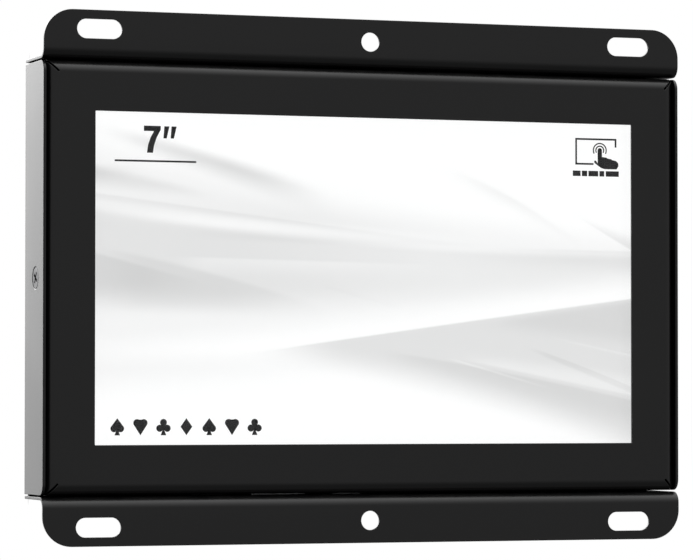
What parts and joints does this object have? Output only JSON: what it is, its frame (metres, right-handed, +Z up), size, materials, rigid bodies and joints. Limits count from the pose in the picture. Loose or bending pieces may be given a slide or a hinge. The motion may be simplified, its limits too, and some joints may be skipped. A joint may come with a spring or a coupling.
{
  "type": "open-frame touch display",
  "caption": "Open-frame touch display in a folded black steel tray: slotted mounting ears above and below, bent-edge bezel round a lit widescreen, buttons and vents at the back.",
  "frame": {"origin": "centre of the screen, on the plane of the bezel's and the mounting ears' front faces", "axes": "+Z up, +X to the right for someone facing the screen, +Y into the case; the screen faces -Y"},
  "size_m": [0.1824, 0.0217, 0.1412],
  "materials": {
    "black_powder_coat": "semi-gloss black powder coat over folded steel",
    "black_zinc": "black zinc plated screws",
    "clear_glass": "toughened touch glass, polished edges",
    "lit_screen": "lit liquid crystal cell, white with soft grey waves",
    "optical_film": "frosted white optical film",
    "acrylic": "clear acrylic light guide with a dotted back",
    "black_foam": "closed-cell foam tape",
    "plated_steel": "bright plated steel",
    "zinc_steel": "zinc plated steel",
    "brass": "bright brass",
    "white_plastic": "moulded white plastic",
    "black_plastic": "moulded black plastic, fine texture",
    "green_board": "green solder mask over glass laminate",
    "chip_epoxy": "black moulding epoxy",
    "ferrite": "dark grey ferrite",
    "can_aluminium": "drawn aluminium can",
    "ribbon_film": "flat flexible cable, ivory film",
    "amber_film": "amber polyimide film",
    "black_lead": "black insulated lead",
    "silver_label": "blank silver polyester label",
    "lamp_lens": "diffused green lamp lens"
  },
  "bodies": {
    "display": {"front_bezel": "black_powder_coat", "rear_chassis": "black_powder_coat", "rear_label": "silver_label", "bezel_gasket": "black_foam", "touch_glass": "clear_glass", "panel_gasket": "black_foam", "lcd_front_frame": "plated_steel", "lcd_cell": "lit_screen", "prism_film": "optical_film", "diffuser_film": "optical_film", "light_guide": "acrylic", "reflector_sheet": "optical_film", "led_strip": "white_plastic", "lcd_housing": "white_plastic", "clamp_bracket_left": "zinc_steel", "clamp_bracket_right": "zinc_steel", "side_screw_left": "black_zinc", "side_screw_right": "black_zinc", "side_nut_left": "zinc_steel", "side_nut_right": "zinc_steel", "earth_screw": "brass", "main_board": "green_board", "scaler_chip": "chip_epoxy", "power_chip": "chip_epoxy", "inductor": "ferrite", "capacitor_left": "can_aluminium", "capacitor_right": "can_aluminium", "power_socket": "black_plastic", "video_socket": "plated_steel", "touch_socket": "plated_steel", "ribbon_socket": "white_plastic", "lcd_ribbon": "ribbon_film", "touch_board": "green_board", "touch_board_pad": "black_foam", "touch_tail": "amber_film", "backlight_lead": "black_lead", "key_lead": "black_lead", "key_board": "green_board", "status_lamp": "lamp_lens", "key_post_upper": "zinc_steel", "key_post_lower": "zinc_steel", "standoff_1": "zinc_steel", "board_screw_1": "zinc_steel", "standoff_2": "zinc_steel", "board_screw_2": "zinc_steel", "standoff_3": "zinc_steel", "board_screw_3": "zinc_steel", "standoff_4": "zinc_steel", "board_screw_4": "zinc_steel", "key_switch_1": "black_plastic", "key_switch_2": "black_plastic", "key_switch_3": "black_plastic", "key_switch_4": "black_plastic", "key_switch_5": "black_plastic"},
    "menu_button_1": {"menu_button_1": "black_plastic"},
    "menu_button_2": {"menu_button_2": "black_plastic"},
    "menu_button_3": {"menu_button_3": "black_plastic"},
    "menu_button_4": {"menu_button_4": "black_plastic"},
    "menu_button_5": {"menu_button_5": "black_plastic"}
  },
  "joints": [
    {"name": "menu_button_1_press", "type": "slide", "parent": "display", "child": "menu_button_1", "axis": [0, -1, 0], "range_m": [0, 0.0003], "stiffness_N_per_m": 4000},
    {"name": "menu_button_2_press", "type": "slide", "parent": "display", "child": "menu_button_2", "axis": [0, -1, 0], "range_m": [0, 0.0003], "stiffness_N_per_m": 4000},
    {"name": "menu_button_3_press", "type": "slide", "parent": "display", "child": "menu_button_3", "axis": [0, -1, 0], "range_m": [0, 0.0003], "stiffness_N_per_m": 4000},
    {"name": "menu_button_4_press", "type": "slide", "parent": "display", "child": "menu_button_4", "axis": [0, -1, 0], "range_m": [0, 0.0003], "stiffness_N_per_m": 4000},
    {"name": "menu_button_5_press", "type": "slide", "parent": "display", "child": "menu_button_5", "axis": [0, -1, 0], "range_m": [0, 0.0003], "stiffness_N_per_m": 4000}
  ]
}
